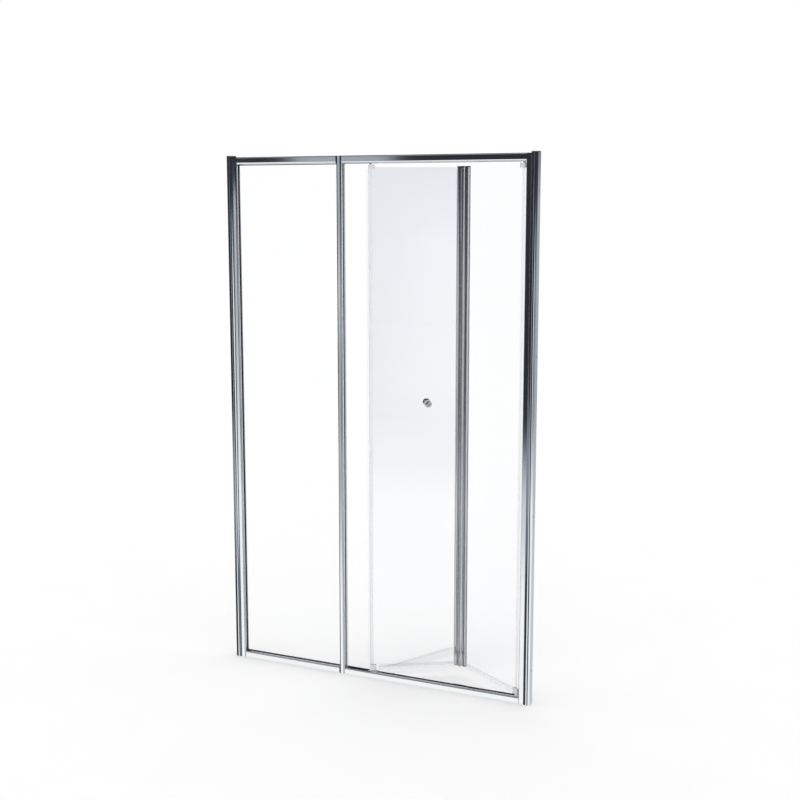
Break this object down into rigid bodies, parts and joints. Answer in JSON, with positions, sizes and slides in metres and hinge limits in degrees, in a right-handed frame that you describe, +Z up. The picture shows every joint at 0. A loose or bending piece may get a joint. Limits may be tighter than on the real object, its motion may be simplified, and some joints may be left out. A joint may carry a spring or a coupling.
{
  "type": "shower door",
  "caption": "Framed folding shower door with a fixed in-line side panel, clear glass leaves on a full-height knuckle hinge, a knob and wall channels.",
  "frame": {"origin": "centre of the frame's base, halfway between the two wall faces, in the middle of the depth of the rails", "axes": "+X to the right seen from the room, +Y into the shower, +Z up"},
  "size_m": [1.16, 0.188, 1.85],
  "materials": {
    "polished_aluminium": "polished",
    "chrome": "mirror",
    "stainless": "satin",
    "clear_glass": "polished",
    "clear_seal": "gloss",
    "white_nylon": "matte",
    "grey_plastic": "matte"
  },
  "bodies": {
    "frame": {"wall_channel_left": "polished_aluminium", "wall_channel_right": "polished_aluminium", "channel_caps": "grey_plastic", "panel_wall_stile": "polished_aluminium", "panel_head_rail": "polished_aluminium", "panel_sill_rail": "polished_aluminium", "mid_post": "polished_aluminium", "panel_glass": "clear_glass", "panel_glazing_seals": "clear_seal", "panel_setting_blocks": "white_nylon", "strike_magnet_seal": "clear_seal", "mid_post_studs": "stainless", "door_head_rail": "polished_aluminium", "door_sill_rail": "polished_aluminium", "pivot_jamb": "polished_aluminium", "corner_screws": "stainless", "channel_screws": "stainless", "pivot_bush_top": "white_nylon", "pivot_bush_bottom": "white_nylon"},
    "pivot_leaf": {"pivot_leaf_glass": "clear_glass", "pivot_edge_seal": "clear_seal", "pivot_leaf_hinge_stile": "polished_aluminium", "pivot_leaf_glazing_seal": "clear_seal", "pivot_leaf_drip_seal": "clear_seal", "fold_gap_seal": "clear_seal", "pivot_stile_caps": "grey_plastic", "pivot_clamp_top": "white_nylon", "pivot_clamp_bottom": "white_nylon", "pivot_clamp_screws": "stainless", "pivot_pins": "stainless", "pivot_thrust_washer": "white_nylon", "hinge_pin": "stainless", "hinge_washers": "white_nylon"},
    "leading_leaf": {"leading_leaf_glass": "clear_glass", "leading_magnet_seal": "clear_seal", "leading_leaf_hinge_stile": "polished_aluminium", "leading_leaf_glazing_seal": "clear_seal", "leading_leaf_drip_seal": "clear_seal", "leading_stile_caps": "grey_plastic", "guide_clamp_top": "white_nylon", "guide_clamp_bottom": "white_nylon", "guide_clamp_screws": "stainless", "knob_outer": "chrome", "knob_inner": "chrome", "knob_spindle": "stainless", "knob_washers": "white_nylon"},
    "guide": {"guide_block_top": "white_nylon", "guide_block_bottom": "white_nylon", "guide_pins": "stainless"}
  },
  "joints": [
    {"name": "leaf_swing", "type": "hinge", "parent": "frame", "child": "pivot_leaf", "pos_m": [0.53, 0, 0.9235], "axis": [0, 0, -1], "range_deg": [-32, 50]},
    {"name": "leaf_fold", "type": "hinge", "parent": "pivot_leaf", "child": "leading_leaf", "pos_m": [0.25555, 0.15616, 0.9235], "axis": [0, 0, -1], "range_deg": [-100, 64]},
    {"name": "guide_swivel", "type": "hinge", "parent": "leading_leaf", "child": "guide", "pos_m": [-0.0189, 0, 0.9235], "axis": [0, 0, -1], "range_deg": [-32, 50]}
  ],
  "couplings": [
    {"joint": "leaf_fold", "follows": "leaf_swing", "ratio": -2},
    {"joint": "guide_swivel", "follows": "leaf_swing", "ratio": 1}
  ]
}
